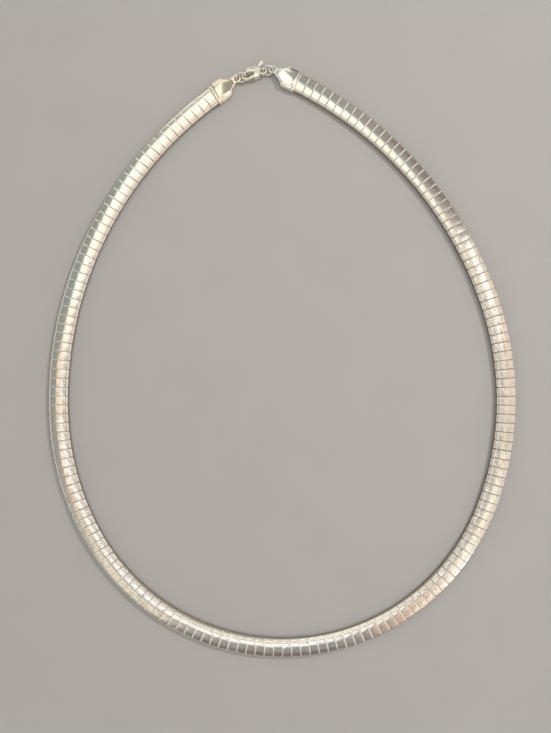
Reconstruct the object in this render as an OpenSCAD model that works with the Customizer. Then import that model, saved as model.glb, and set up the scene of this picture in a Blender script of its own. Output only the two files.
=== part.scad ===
// Omega chain necklace lying on its flat side, dome up.
// Domed plates are folded over a flat mesh band. Stamped caps close the band's ends, and two
// jump rings and a lobster claw join the caps. Millimetres, +Z up, the front of the loop at -Y.

/* [Plates] */
// Number of plates between the two cap mouths
plate_count = 167; // [160:1:170]
// Width of a plate across the chain
plate_w = 5.7; // [5:0.1:6.2]
// Height of a plate at its crown
plate_h = 1.8; // [1.6:0.1:2.1]
// Length of a plate along the chain
plate_len = 2.34; // [2:0.02:2.36]
// Thickness of the plate's sheet
sheet = 0.3; // [0.2:0.02:0.36]
// Length of the tab folded under each side of a plate
tab_len = 1.5; // [1:0.1:1.9]
// Radius of the plate's crown
crown_r = 9; // [8:0.5:14]
// Radius of the plate's shoulders
shoulder_r = 0.7; // [0.5:0.05:0.75]

/* [Mesh band] */
// Width of the mesh band
core_w = 4.7; // [3.6:0.1:4.8]
// Thickness of the mesh band
core_t = 0.7; // [0.5:0.05:0.75]

/* [Caps] */
// Length of a cap from its mouth to the centre of its eye
cap_reach = 8.2; // [7.8:0.1:8.6]
// Width of a cap
cap_w = 6.5; // [6.2:0.1:6.8]
// Height of a cap at its crown
cap_h = 2.2; // [2.1:0.05:2.5]
// Length of the cap's full width before it narrows
cap_straight = 4.1; // [3.6:0.1:4.4]
// Radius of the hole in the cap's eye
eye_hole_r = 0.75; // [0.72:0.01:0.8]

/* [Rings] */
// Outer diameter of a jump ring
ring_d = 3.3; // [3.2:0.05:3.4]
// Diameter of the ring's wire
ring_wire = 0.58; // [0.5:0.02:0.62]
// Roll of both rings about the line of the clasp
ring_roll = 54; // [50:1:58]

/* [Clasp] */
// Thickness of the claw at its fullest point
claw_t = 2; // [1.8:0.1:2.2]
// Roll of the claw about its own length, spine down
claw_roll = -14; // [-16:1:-10]
// Diameter of the wire-round hook
hook_d = 0.92; // [0.8:0.02:1]
// Thickness of the lever
lever_t = 0.7; // [0.6:0.05:0.75]
// Diameter of the pin
pin_d = 0.8; // [0.7:0.05:0.9]
// Opening angle of the lever, 0 is closed
lever_open = 0; // [0:1:16]

/* [Hidden] */
$fn = 48;

// The loop's centre line runs clockwise from the mouth of the right cap to that of the left.
// Columns: turn in degrees, radius in mm
ROUTE = [
    [ 45.5, 110.0],
    [ 39.0,  86.5],
    [131.0,  62.5],
    [ 26.0,  78.5],
    [ 56.0, 108.0]
];
route_start = [4.47, 79.31];
route_heading = -26.5;

function arc_len(row) = row[0] * PI / 180 * row[1];
function dir(a) = [cos(a), sin(a)];
function across(a) = [-sin(a), cos(a)];
// The arcs laid end to end. Columns: centre, radius, heading at its start, turn, distance at its start
function arcs_from(i, p, h, s) =
    i == len(ROUTE) ? [] :
    let (r = ROUTE[i][1], turn = ROUTE[i][0], c = p - r * across(h), h2 = h - turn)
    concat([[c, r, h, turn, s]], arcs_from(i + 1, c + r * across(h2), h2, s + arc_len(ROUTE[i])));
ARCS = arcs_from(0, route_start, route_heading, 0);
last_arc = ARCS[len(ARCS) - 1];
route_len = last_arc[4] + arc_len(ROUTE[len(ROUTE) - 1]);
end_heading = last_arc[2] - last_arc[3];
route_end = last_arc[0] + last_arc[1] * across(end_heading);

// Place and heading at a distance along the route
function arc_at(s, i = 0) = i == len(ARCS) - 1 || s < ARCS[i + 1][4] ? ARCS[i] : arc_at(s, i + 1);
function heading_at(s) = let (a = arc_at(s)) a[2] - (s - a[4]) / a[1] * 180 / PI;
function point_at(s) = let (a = arc_at(s)) a[0] + a[1] * across(heading_at(s));

pitch = route_len / plate_count;
right_count = floor(plate_count / 2);
clear = 0.12;
lower_r = 0.4;
core_z = sheet + clear;
core_in_cap = 4.4;
fine_fn = 96;

// The clasp lies on the straight line between the centres of the caps' eyes.
eye_right = route_start - cap_reach * dir(route_heading);
eye_left = route_end + cap_reach * dir(end_heading);
clasp_span = norm(eye_right - eye_left);
clasp_dir = (eye_right - eye_left) / clasp_span;
clasp_angle = atan2(clasp_dir[1], clasp_dir[0]);
ring_r = (ring_d - ring_wire) / 2;
ring_z = ring_r * sin(ring_roll) + ring_wire / 2;
eye_t = 0.6;
eye_rim = 0.45;
neck_gap = 0.1;
neck_inset = 0.15;
waist_r = 5;
fall_r = 22;
swing_room = 0.15;

// The claw's own frame: x from the centre of its tail eye to the hook, y to the spine, z through
// its thickness.
hook_c = [4.85, -1.05];
hook_r = 1.1;
hook_end_x = hook_c[0] + hook_r;
hook_seat = hook_end_x - hook_d / 2 - ring_wire / 2 - clear;
claw_pitch = norm([hook_seat, hook_c[1]]);
claw_yaw = atan2(hook_c[1], hook_seat);
ring_gap = (clasp_span - claw_pitch) / 2;
tail_hole_r = 0.65;
tail_rim = 0.5;
tail_t = 0.8;
spine_x = 1.6;
spine_y = 2;
spine_r = 4.2;
belly_x = 2.9;
belly_y = 2.45;
belly_r = 5.3;
across_r = 5;
along_r = 16;
claw_back_x = 0.65;
claw_reach = 8;
tail_round = 2.2;
tail_block_w = 1.8;
nose_x = 4.95;
nose_y = 0;
nose_round = 2.6;
cheek_x = 2.6;
slot_back_x = 0.88;
pocket_top = hook_c[1] + hook_r - hook_d / 2;
hook_tip_angle = 130;
hook_root_angle = 110;
pivot = [1.75, -0.75];
gate_r = 2.9;
gate_w = 0.7;
gate_angle = -28;
hub_r = 0.8;
lever_clear = 0.06;
pin_clear = 0.03;
slot_front_x = cheek_x + lever_clear;
// The thumb tab's outline, from the foot of its stem on the hub round the tip
TAB = [
    [1.45, -0.25], [2.2, -0.25], [2.25, 1.5], [1.35, 2.4], [0.65, 3.55],
    [0.3, 3.6], [-0.25, 3.05], [-0.1, 2.3], [0.6, 1.75], [1.45, 1.2]
];

// Chain plate: a folded strip seen along the chain, standing on z = 0 and centred across.
module rounded_profile(w, h, top_r, side_r, bottom_r) {
    // the shoulder arcs touch the crown arc and the vertical sides
    dx = w / 2 - side_r;
    shoulder_z = h - top_r + sqrt(pow(top_r - side_r, 2) - dx * dx);
    intersection() {
        union() {
            for (m = [-1, 1]) {
                translate([m * dx, shoulder_z]) circle(r = side_r);
                translate([m * (w / 2 - bottom_r), bottom_r]) circle(r = bottom_r);
            }
            translate([-w / 2, bottom_r]) square([w, shoulder_z - bottom_r]);
            translate([-w / 2 + bottom_r, 0]) square([w - 2 * bottom_r, shoulder_z]);
            translate([-dx, shoulder_z - side_r / 2]) square([2 * dx, h]);
        }
        translate([0, h - top_r]) circle(r = top_r, $fn = fine_fn);
    }
}

module plate_profile() {
    inner_w = plate_w - 2 * sheet;
    inner_h = plate_h - 2 * sheet;
    ease = sheet / 2;
    difference() {
        rounded_profile(plate_w, plate_h, crown_r, shoulder_r, lower_r);
        translate([0, sheet])
            rounded_profile(inner_w, inner_h, crown_r - sheet, shoulder_r - ease, lower_r - ease);
        translate([-plate_w / 2 + tab_len, -1]) square([plate_w - 2 * tab_len, plate_h / 2 + 1]);
    }
}

module plate() {
    rotate([90, 0, 90])
        translate([0, 0, -plate_len / 2])
            linear_extrude(plate_len) plate_profile();
}

module plates(from, to) {
    for (i = [from : to - 1]) {
        s = (i + 0.5) * pitch;
        translate(concat(point_at(s), 0)) rotate([0, 0, heading_at(s)]) plate();
    }
}

module plates_right() {
    color("silver") plates(0, right_count);
}

module plates_left() {
    color("silver") plates(right_count, plate_count);
}

// Mesh band: one flat band under all plates, with a straight end inside each cap.
function band_side(m) = concat(
    [route_start - core_in_cap * dir(route_heading) + m * across(route_heading)],
    [for (i = [0 : plate_count]) point_at(i * pitch) + m * across(heading_at(i * pitch))],
    [route_end + core_in_cap * dir(end_heading) + m * across(end_heading)]
);
function backwards(list) = [for (i = [len(list) - 1 : -1 : 0]) list[i]];

module mesh_core() {
    color("gainsboro") translate([0, 0, core_z]) linear_extrude(core_t)
        polygon(concat(band_side(core_w / 2), backwards(band_side(-core_w / 2))));
}

// End cap: x runs from its mouth to its eye. The neck is a little narrower than the eye.
module cap_plan() {
    corner = [cap_straight, cap_w / 2];
    neck = [cap_reach - eye_hole_r - neck_gap, eye_hole_r + eye_rim - neck_inset];
    chord = neck - corner;
    mid = (neck + corner) / 2;
    out = [-chord[1], chord[0]] / norm(chord);
    waist = mid + out * sqrt(waist_r * waist_r - pow(norm(chord) / 2, 2));
    difference() {
        translate([0, -cap_w / 2]) square([neck[0], cap_w]);
        for (m = [-1, 1]) translate([waist[0], m * waist[1]]) circle(r = waist_r, $fn = fine_fn);
    }
}

module cap() {
    pocket_w = core_w + 2 * clear;
    swing_r = eye_hole_r + eye_rim + swing_room;
    difference() {
        union() {
            intersection() {
                linear_extrude(cap_h) cap_plan();
                rotate([90, 0, 90]) linear_extrude(cap_reach)
                    rounded_profile(cap_w, cap_h, crown_r, shoulder_r, lower_r);
                // the crown falls towards the neck
                translate([cap_straight / 2, cap_w, cap_h - fall_r])
                    rotate([90, 0, 0]) cylinder(r = fall_r, h = 2 * cap_w, $fn = 2 * fine_fn);
            }
            translate([cap_reach, 0, ring_z - eye_t / 2]) cylinder(r = eye_hole_r + eye_rim, h = eye_t);
        }
        translate([cap_reach, 0, ring_z - cap_h]) cylinder(r = eye_hole_r, h = 2 * cap_h);
        // the rings swing over and under the eye's rim
        for (z = [ring_z + eye_t / 2, ring_z - eye_t / 2 - cap_h])
            translate([cap_reach, 0, z]) cylinder(r = swing_r, h = cap_h);
        translate([-1, -pocket_w / 2, core_z - clear])
            cube([core_in_cap + 1 + clear, pocket_w, core_t + 2 * clear]);
    }
}

module cap_right() {
    color("silver")
        translate(concat(route_start, 0)) rotate([0, 0, route_heading + 180]) cap();
}

module cap_left() {
    color("silver")
        translate(concat(route_end, 0)) rotate([0, 0, end_heading]) cap();
}

// Jump rings, rolled about the line of the clasp and each seated half way along its gap.
module jump_ring(distance) {
    translate(concat(eye_left + distance * clasp_dir, ring_z)) rotate([0, 0, clasp_angle])
        rotate([ring_roll, 0, 0])
            rotate_extrude() translate([ring_r, 0]) circle(d = ring_wire);
}

module jump_ring_right() {
    color("silver") jump_ring(clasp_span - ring_gap / 2);
}

module jump_ring_left() {
    color("silver") jump_ring(ring_gap / 2);
}

// Claw clasp
module in_clasp() {
    translate(concat(eye_right - ring_gap * clasp_dir, ring_z)) rotate([0, 0, clasp_angle + 180])
        rotate([-claw_roll, 0, 0]) mirror([0, 1, 0]) rotate([0, 0, -claw_yaw]) children();
}

module claw_plan() {
    intersection() {
        translate([spine_x, spine_y - spine_r]) circle(r = spine_r, $fn = fine_fn);
        translate([belly_x, belly_r - belly_y]) circle(r = belly_r, $fn = fine_fn);
        union() {
            translate([claw_back_x + tail_round, 0]) circle(r = tail_round);
            translate([claw_back_x + tail_round, -belly_y]) square(claw_reach);
        }
        union() {
            translate([nose_x - nose_round, nose_y]) circle(r = nose_round);
            translate([nose_x - nose_round - claw_reach, -belly_y]) square(claw_reach);
        }
    }
}

module crown_tool(r) {
    cylinder(r = r, h = 2 * claw_reach, center = true, $fn = fine_fn);
}

// Crowned on both broad sides, across and along the claw
module claw_blank() {
    intersection() {
        translate([0, 0, -claw_t / 2]) linear_extrude(claw_t) claw_plan();
        translate([0, 0, claw_t / 2 - across_r]) rotate([0, 90, 0]) crown_tool(across_r);
        translate([0, 0, across_r - claw_t / 2]) rotate([0, 90, 0]) crown_tool(across_r);
        translate([belly_x, 0, claw_t / 2 - along_r]) rotate([90, 0, 0]) crown_tool(along_r);
        translate([belly_x, 0, along_r - claw_t / 2]) rotate([90, 0, 0]) crown_tool(along_r);
    }
}

// The round hook starts inside the body's nose and ends where the gate's tip sweeps past.
module hook() {
    difference() {
        translate(concat(hook_c, 0)) rotate([0, 0, -hook_tip_angle])
            rotate_extrude(angle = hook_tip_angle + hook_root_angle)
                translate([hook_r, 0]) circle(d = hook_d);
        translate(concat(pivot, -hook_d)) cylinder(r = gate_r + lever_clear, h = 2 * hook_d, $fn = fine_fn);
    }
}

// Room for the lever between the two cheeks, out to the gate side and the thumb tab
module lever_slot() {
    slot_t = lever_t + 2 * lever_clear;
    slot_w = slot_front_x - slot_back_x;
    translate([slot_back_x, -claw_reach / 2, -slot_t / 2]) cube([slot_w, claw_reach, slot_t]);
    translate([slot_front_x - claw_reach, tail_block_w / 2, -slot_t / 2])
        cube([claw_reach, claw_reach, slot_t]);
}

module clasp_body() {
    color("silver") in_clasp() {
        difference() {
            union() {
                claw_blank();
                translate([0, 0, -tail_t / 2]) {
                    cylinder(r = tail_hole_r + tail_rim, h = tail_t);
                    translate([0, -tail_block_w / 2, 0])
                        cube([slot_back_x, tail_block_w, tail_t]);
                }
            }
            translate([0, 0, -claw_t]) cylinder(r = tail_hole_r, h = 2 * claw_t);
            translate([cheek_x, pocket_top - claw_reach, -claw_t])
                cube([claw_reach, claw_reach, 2 * claw_t]);
            lever_slot();
        }
        hook();
        translate(concat(pivot, -claw_t / 2)) cylinder(d = pin_d, h = claw_t);
    }
}

// Hub, gate and thumb tab in one flat piece
module lever_plan() {
    difference() {
        union() {
            translate(pivot) {
                circle(r = hub_r);
                intersection() {
                    rotate(gate_angle) translate([0, -gate_w / 2]) square([gate_r + 1, gate_w]);
                    circle(r = gate_r, $fn = fine_fn);
                }
            }
            polygon(TAB);
        }
        translate(pivot) circle(d = pin_d + 2 * pin_clear);
    }
}

module clasp_lever() {
    color("gainsboro") in_clasp()
        translate(concat(pivot, 0)) rotate([0, 0, lever_open]) translate(-concat(pivot, 0))
            translate([0, 0, -lever_t / 2]) linear_extrude(lever_t) lever_plan();
}

plates_right();
plates_left();
mesh_core();
cap_right();
cap_left();
jump_ring_right();
jump_ring_left();
clasp_body();
clasp_lever();
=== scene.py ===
"""Looks of an omega chain necklace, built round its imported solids.

Sizes are in millimetres in the part's own frame and turned into metres as each mesh is made.
"""

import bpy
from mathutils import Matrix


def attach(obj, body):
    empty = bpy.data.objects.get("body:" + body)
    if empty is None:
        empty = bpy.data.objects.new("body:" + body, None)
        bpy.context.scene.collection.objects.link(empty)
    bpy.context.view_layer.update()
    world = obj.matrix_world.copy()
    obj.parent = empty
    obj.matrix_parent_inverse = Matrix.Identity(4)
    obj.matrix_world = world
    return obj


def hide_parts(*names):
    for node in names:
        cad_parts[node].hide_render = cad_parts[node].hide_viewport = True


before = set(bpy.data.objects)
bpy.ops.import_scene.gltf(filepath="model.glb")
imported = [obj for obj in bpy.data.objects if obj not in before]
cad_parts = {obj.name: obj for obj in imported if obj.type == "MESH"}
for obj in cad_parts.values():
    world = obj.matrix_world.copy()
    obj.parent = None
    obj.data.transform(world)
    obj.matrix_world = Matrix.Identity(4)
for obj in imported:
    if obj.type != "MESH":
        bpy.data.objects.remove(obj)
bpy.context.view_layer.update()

import logging
import math
from dataclasses import dataclass
from enum import Enum
from typing import Any, Sequence

import bmesh
import bpy
from bmesh.types import BMesh, BMVert
from bpy.types import Object
from mathutils import Matrix, Vector

log = logging.getLogger("necklace")

MM = 0.001
TO_METRES = Matrix.Scale(MM, 4)
DIAGONAL = math.sqrt(0.5)
# millimetres within which two places are one, and the least height over the floor
NEAR = 1e-4
FLOOR_GAP = 0.01
# degrees by which a sharp edge turns
SHARP = 50.0
NECKLACE = "necklace"
Point = tuple[float, float]
Reach = tuple[float, float]
Triple = tuple[float, float, float]
Tone = Triple
Line = list[tuple[float, float, float, float]]


class Side(Enum):
    """Which half of the loop, or which cap or ring, a piece is."""

    RIGHT = "right"
    LEFT = "left"


class Val:
    """A socket that takes part in Python arithmetic and adds its nodes as it does."""

    def __init__(self, net: "Net", socket: bpy.types.NodeSocket) -> None:
        """Keeps the socket and the net it belongs to."""
        self.net, self.socket = net, socket

    @property
    def is_vector(self) -> bool:
        """True for a vector or colour socket."""
        return self.socket.type in ("VECTOR", "RGBA")

    def _do(self, operation: str, first: Any, second: Any = None) -> "Val":
        """Adds one maths node.

        Args:
            operation: the node's operation.
            first: the left value.
            second: the right value, or None where the operation has one value.

        Returns:
            The result, a vector where either value is one.
        """
        pair = [first] if second is None else [first, second]
        vector = any(isinstance(v, Val) and v.is_vector for v in pair)
        if vector:
            pair = [v if isinstance(v, (Val, tuple)) else (v, v, v) for v in pair]
        kind = "ShaderNodeVectorMath" if vector else "ShaderNodeMath"
        return self.net.value(kind, {"operation": operation}, dict(enumerate(pair)))

    def __add__(self, other: Any) -> "Val":
        """Sum."""
        return self._do("ADD", self, other)

    def __radd__(self, other: Any) -> "Val":
        """Sum, other side."""
        return self._do("ADD", other, self)

    def __sub__(self, other: Any) -> "Val":
        """Difference."""
        return self._do("SUBTRACT", self, other)

    def __rsub__(self, other: Any) -> "Val":
        """Difference, other side."""
        return self._do("SUBTRACT", other, self)

    def __mul__(self, other: Any) -> "Val":
        """Product."""
        return self._do("MULTIPLY", self, other)

    def __rmul__(self, other: Any) -> "Val":
        """Product, other side."""
        return self._do("MULTIPLY", other, self)

    def __truediv__(self, other: Any) -> "Val":
        """Quotient."""
        return self._do("DIVIDE", self, other)

    def __rtruediv__(self, other: Any) -> "Val":
        """Quotient, other side."""
        return self._do("DIVIDE", other, self)

    def __abs__(self) -> "Val":
        """Size without sign."""
        return self._do("ABSOLUTE", self)

    def least(self, other: Any) -> "Val":
        """The smaller of two values."""
        return self._do("MINIMUM", self, other)

    def most(self, other: Any) -> "Val":
        """The larger of two values."""
        return self._do("MAXIMUM", self, other)

    def step(self, low: float, high: float) -> "Val":
        """Smooth step from 0 at low to 1 at high, either way round.

        Args:
            low: value that gives 0.
            high: value that gives 1.

        Returns:
            The eased value, held between 0 and 1.
        """
        settings = {"interpolation_type": "SMOOTHSTEP"}
        turned = low > high
        ends = {"From Min": min(low, high), "From Max": max(low, high), "Value": self}
        ends |= {"To Min": float(turned), "To Max": float(not turned)}
        return self.net.value("ShaderNodeMapRange", settings, ends, "Result")

    def parts(self) -> tuple["Val", "Val", "Val"]:
        """The three components of a vector."""
        node = self.net.node("ShaderNodeSeparateXYZ", {}, {"Vector": self})
        return tuple(Val(self.net, out) for out in node.outputs)


class Net:
    """A node tree that is filled from Python."""

    def __init__(self, tree: bpy.types.NodeTree) -> None:
        """Keeps the tree."""
        self.tree = tree

    @classmethod
    def fresh(cls, owner: bpy.types.Material | bpy.types.World) -> "Net":
        """Clears the nodes of a material or a world.

        Args:
            owner: the material or world.

        Returns:
            Its empty net.
        """
        owner.use_nodes = True
        owner.node_tree.nodes.clear()
        return cls(owner.node_tree)

    @staticmethod
    def port(ports: Any, key: int | str) -> bpy.types.NodeSocket:
        """The socket at an index, or the one in use under a name."""
        named = (p for p in ports if p.name == key and p.enabled)
        return ports[key] if isinstance(key, int) else next(named)

    def node(self, kind: str, settings: dict[str, Any], inputs: dict[int | str, Any]) -> bpy.types.Node:
        """Adds a node.

        Args:
            kind: the node's type.
            settings: its own settings, set first.
            inputs: values or links, by socket name or index.

        Returns:
            The node.
        """
        made = self.tree.nodes.new(kind)
        for name, setting in settings.items():
            setattr(made, name, setting)
        for key, value in inputs.items():
            port = self.port(made.inputs, key)
            if isinstance(value, Val):
                self.tree.links.new(value.socket, port)
            else:
                port.default_value = value
        return made

    def value(self, kind: str, settings: dict, inputs: dict, out: int | str = 0) -> Val:
        """Adds a node and returns one of its outputs, by name or index."""
        return Val(self, self.port(self.node(kind, settings, inputs).outputs, out))

    def mix(self, share: Any, first: Any, second: Any) -> Val:
        """Blends two colours.

        Args:
            share: how much of the second colour shows, from 0 to 1.
            first: colour at 0.
            second: colour at 1.

        Returns:
            The blended colour.
        """
        pair = [(*c, 1.0) if isinstance(c, tuple) else c for c in (first, second)]
        inputs = {"Factor": share, "A": pair[0], "B": pair[1]}
        return self.value("ShaderNodeMix", {"data_type": "RGBA"}, inputs, "Result")

    def noise(self, place: Val, scale: float, detail: float = 2.0, rough: float = 0.5) -> Val:
        """Noise between 0 and 1.

        Args:
            place: where it is read.
            scale: waves for each unit of place.
            detail: octaves.
            rough: strength of the finer octaves.

        Returns:
            The noise value.
        """
        inputs = {"Vector": place, "Scale": scale, "Detail": detail, "Roughness": rough}
        return self.value("ShaderNodeTexNoise", {}, inputs, "Fac")

    def close(self, shader: str, inputs: dict, output: str = "ShaderNodeOutputMaterial") -> None:
        """Adds the last shader and the output that shows it."""
        self.node(output, {}, {"Surface": self.value(shader, {}, inputs)})


@dataclass(frozen=True)
class Spot:
    """What a finish reads at each point: its net, the place in millimetres, wear and scratches."""

    net: Net
    place: Val
    worn: Val
    marks: Val


@dataclass(frozen=True)
class Silver:
    """Silver as it looks on one kind of piece: tone, polish, marks, a tarnished film and broad patches of
    painted warm reflection.

    A Reach holds the values at which something starts and is full. Scales are waves in a millimetre.
    """

    name: str
    tone: Tone = (0.93, 0.915, 0.875)
    # painted reflection: a warm tone laid over broad noise patches, standing in for warm surroundings seen in
    # the metal
    warm: Tone = (0.95, 0.83, 0.71)
    warm_reflection_share: float = 0.3
    warm_reflection_scale: float = 0.035
    warm_reflection_edge: Reach = (0.46, 0.62)
    # colour of the tarnished film and scratch dirt; on the plates it also paints shade
    tarnish_and_shade: Tone = (0.34, 0.29, 0.23)
    tarnish_share: float = 0.35
    film_scale: float = 0.9
    film_dull: Reach = (0.5, 0.74)
    film_rough: Reach = (0.35, 0.75)
    roughness: float = 0.085
    smudge: float = 0.1
    ripple: float = 0.012
    ripple_scale: float = 0.35
    dent: float = 0.02
    dent_scale: float = 0.32
    dent_edge: Reach = (0.2, 0.0)
    scratch: float = 0.004
    scratch_dirt: float = 0.22
    scratch_rough: float = 0.15
    scratch_stretch: Triple = (0.22, 3.2, 0.5)
    scratch_soft: float = 0.05
    # turn in radians, scale and threshold of each set of scratches
    scratch_sets: tuple[Triple, ...] = ((0.5, 2.2, 0.66), (2.1, 1.7, 0.68), (1.2, 3.1, 0.7))
    wear_least: float = 0.35
    wear_right: float = 0.65
    wear_right_x: Reach = (20.0, 62.0)
    wear_right_y: Reach = (66.0, 30.0)
    wear_corner: float = 0.45
    wear_corner_slope: float = 1.2
    wear_corner_at: Reach = (-55.0, -105.0)

    def material(self) -> bpy.types.Material:
        """Builds the material.

        Returns:
            A material that reads object coordinates and, on plates, their own attributes.
        """
        made = bpy.data.materials.new(self.name)
        net = Net.fresh(made)
        place = net.value("ShaderNodeTexCoord", {}, {}, "Object") * (1.0 / MM)
        worn = self.worn(place)
        spot = Spot(net, place, worn, self.marks(net, place) * worn)
        colour, rough = self.surface(spot)
        bump = {"Strength": 1.0, "Distance": MM, "Height": self.relief(spot)}
        normal = net.value("ShaderNodeBump", {}, bump, "Normal")
        inputs = {"Base Color": colour, "Metallic": 1.0, "Roughness": rough, "Normal": normal}
        net.close("ShaderNodeBsdfPrincipled", inputs)
        return made

    def worn(self, place: Val) -> Val:
        """Wear: most on the right side and at the lower left, least beside the clasp.

        Args:
            place: object coordinates in millimetres.

        Returns:
            The share of wear, from 0 to 1.
        """
        x, y, _ = place.parts()
        right = x.step(*self.wear_right_x) * y.step(*self.wear_right_y)
        corner = (x + y * self.wear_corner_slope).step(*self.wear_corner_at)
        return (self.wear_least + self.wear_right * right + self.wear_corner * corner).least(1.0)

    def marks(self, net: Net, place: Val) -> Val:
        """Fine scratches, as a mask.

        Args:
            net: the material's net.
            place: object coordinates in millimetres.

        Returns:
            1 on a scratch and 0 beside it.
        """
        total: Any = 0.0
        for turn, scale, edge in self.scratch_sets:
            inputs = {"Vector": place, "Rotation": (0.0, 0.0, turn), "Scale": self.scratch_stretch}
            turned = net.value("ShaderNodeMapping", {"vector_type": "POINT"}, inputs)
            total = net.noise(turned, scale, 1.0).step(edge, edge + self.scratch_soft) + total
        return total.least(1.0)

    def surface(self, spot: Spot) -> tuple[Val, Val]:
        """Colour and roughness.

        Args:
            spot: what the finish reads.

        Returns:
            Base colour and roughness.
        """
        # painted reflection: broad warm patches over the silver
        warm = spot.net.noise(spot.place, self.warm_reflection_scale, 1.0).step(*self.warm_reflection_edge) * self.warm_reflection_share
        film = spot.net.noise(spot.place, self.film_scale, 3.0, 0.62)
        colour = spot.net.mix(warm, self.tone, self.warm)
        dull = film.step(*self.film_dull) * self.tarnish_share * spot.worn
        colour = spot.net.mix((dull + spot.marks * self.scratch_dirt).least(1.0), colour, self.tarnish_and_shade)
        rough = self.roughness + film.step(*self.film_rough) * self.smudge * spot.worn
        return colour, rough + spot.marks * self.scratch_rough

    def relief(self, spot: Spot) -> Val:
        """Height of the surface: soft ripple, dents and scratches.

        Args:
            spot: what the finish reads.

        Returns:
            The height in millimetres.
        """
        ripple = spot.net.noise(spot.place, self.ripple_scale) * self.ripple
        inputs = {"Vector": spot.place, "Scale": self.dent_scale, "Randomness": 1.0}
        dent = spot.net.value("ShaderNodeTexVoronoi", {}, inputs, "Distance").step(*self.dent_edge)
        return ripple - dent * self.dent - spot.marks * self.scratch


@dataclass(frozen=True)
class PlateSilver(Silver):
    """Silver of the folded plates, with dirt at each seam, a little difference between plates, and painted
    shade: darker lower walls, a darker inner flank at the right of the loop and a dark line along the inner
    shoulder.

    Places on a plate run from 0 to 1, across it from its inner tab and along the chain.
    """

    seam: float = 0.65
    seam_along: Reach = (0.41, 0.5)
    seam_scale: float = 1.6
    seam_edge: Reach = (0.2, 0.6)
    seam_wear: Reach = (0.4, 0.9)
    seam_x: Reach = (15.0, 40.0)
    # painted shade: the plates darken towards the bottom, over their lower shoulders and walls, below these
    # heights in millimetres
    side: float = 0.75
    wall_shade_z: Reach = (1.56, 1.0)
    # painted shade, flecked: the inner flank of the plates on the right of the loop is darker
    flank_shade: float = 0.15
    flank_shade_across: Reach = (0.5, 0.36)
    flank_shade_x: Reach = (25.0, 55.0)
    fleck: float = 0.4
    fleck_scale: float = 2.4
    fleck_edge: Reach = (0.55, 0.64)
    # painted shade: a thin dark line along the inner shoulder of each plate
    crease_shade: float = 0.6
    crease_shade_across: float = 0.24
    crease_shade_edge: Reach = (0.018, 0.006)
    plate_dull: Tone = (0.55, 0.52, 0.47)
    plate_spread: float = 0.07
    plate_rough: float = 0.03
    pillow: float = 0.05

    @staticmethod
    def on_plate(net: Net) -> tuple[Val, Val, Val]:
        """Place across and along the plate."""
        return net.value("ShaderNodeUVMap", {"uv_map": "plate"}, {}).parts()

    def surface(self, spot: Spot) -> tuple[Val, Val]:
        """Colour and roughness, from the whole chain's pattern and each plate's own.

        Args:
            spot: what the finish reads.

        Returns:
            Base colour and roughness.
        """
        net = spot.net
        colour, rough = super().surface(spot)
        shade = net.value("ShaderNodeAttribute", {"attribute_name": "plate_shade"}, {}, "Fac")
        over, on, _ = self.on_plate(net)
        x, _, z = spot.place.parts()
        patchy = net.noise(spot.place, self.seam_scale).step(*self.seam_edge)
        dirt = abs(on - 0.5).step(*self.seam_along) * patchy * spot.worn.step(*self.seam_wear) * self.seam
        dirt = dirt * abs(x).step(*self.seam_x)
        # painted shade, darker towards the bottom of each plate
        side = z.step(*self.wall_shade_z) * self.side
        flecks = net.noise(spot.place, self.fleck_scale, 2.0, 0.6).step(*self.fleck_edge) * self.fleck
        # painted shade with flecks on the inner flank at the right of the loop
        flank_shade = over.step(*self.flank_shade_across) * x.step(*self.flank_shade_x) * (flecks + self.flank_shade)
        # painted shade line along the inner shoulder
        crease_shade = abs(over - self.crease_shade_across).step(*self.crease_shade_edge) * self.crease_shade
        # seam tarnish, with painted shade on the lower walls, the right inner flank and the inner shoulder
        # line
        colour = net.mix((dirt + side + flank_shade + crease_shade).least(1.0), colour, self.tarnish_and_shade)
        colour = net.mix(shade * self.plate_spread, colour, self.plate_dull)
        return colour, rough + shade * self.plate_rough

    def relief(self, spot: Spot) -> Val:
        """Height of the surface, with each plate a little crowned along the chain.

        Args:
            spot: what the finish reads.

        Returns:
            The height in millimetres.
        """
        off = self.on_plate(spot.net)[1] - 0.5
        return super().relief(spot) - off * off * self.pillow


@dataclass(frozen=True)
class Finishes:
    """The silver of each kind of piece."""

    plate: PlateSilver = PlateSilver("Plate silver")
    wire: Silver = Silver("Mesh wire silver", (0.8, 0.78, 0.73), roughness=0.3, tarnish_share=0.6, dent=0.0)
    cap: Silver = Silver("Cap silver", ripple=0.018, ripple_scale=0.3)
    # the same cap silver with a painted warm reflection in its tone, for the left cap
    cap_with_warm_reflection: Silver = Silver("Cap silver with warm reflection", (0.95, 0.86, 0.73), ripple=0.018, ripple_scale=0.3)
    ring: Silver = Silver("Ring wire silver", roughness=0.12, ripple=0.004, dent=0.0)
    clasp: Silver = Silver(
        "Cast clasp silver", (0.96, 0.93, 0.85), roughness=0.2, ripple=0.01, ripple_scale=0.7, dent=0.0
    )


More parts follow.
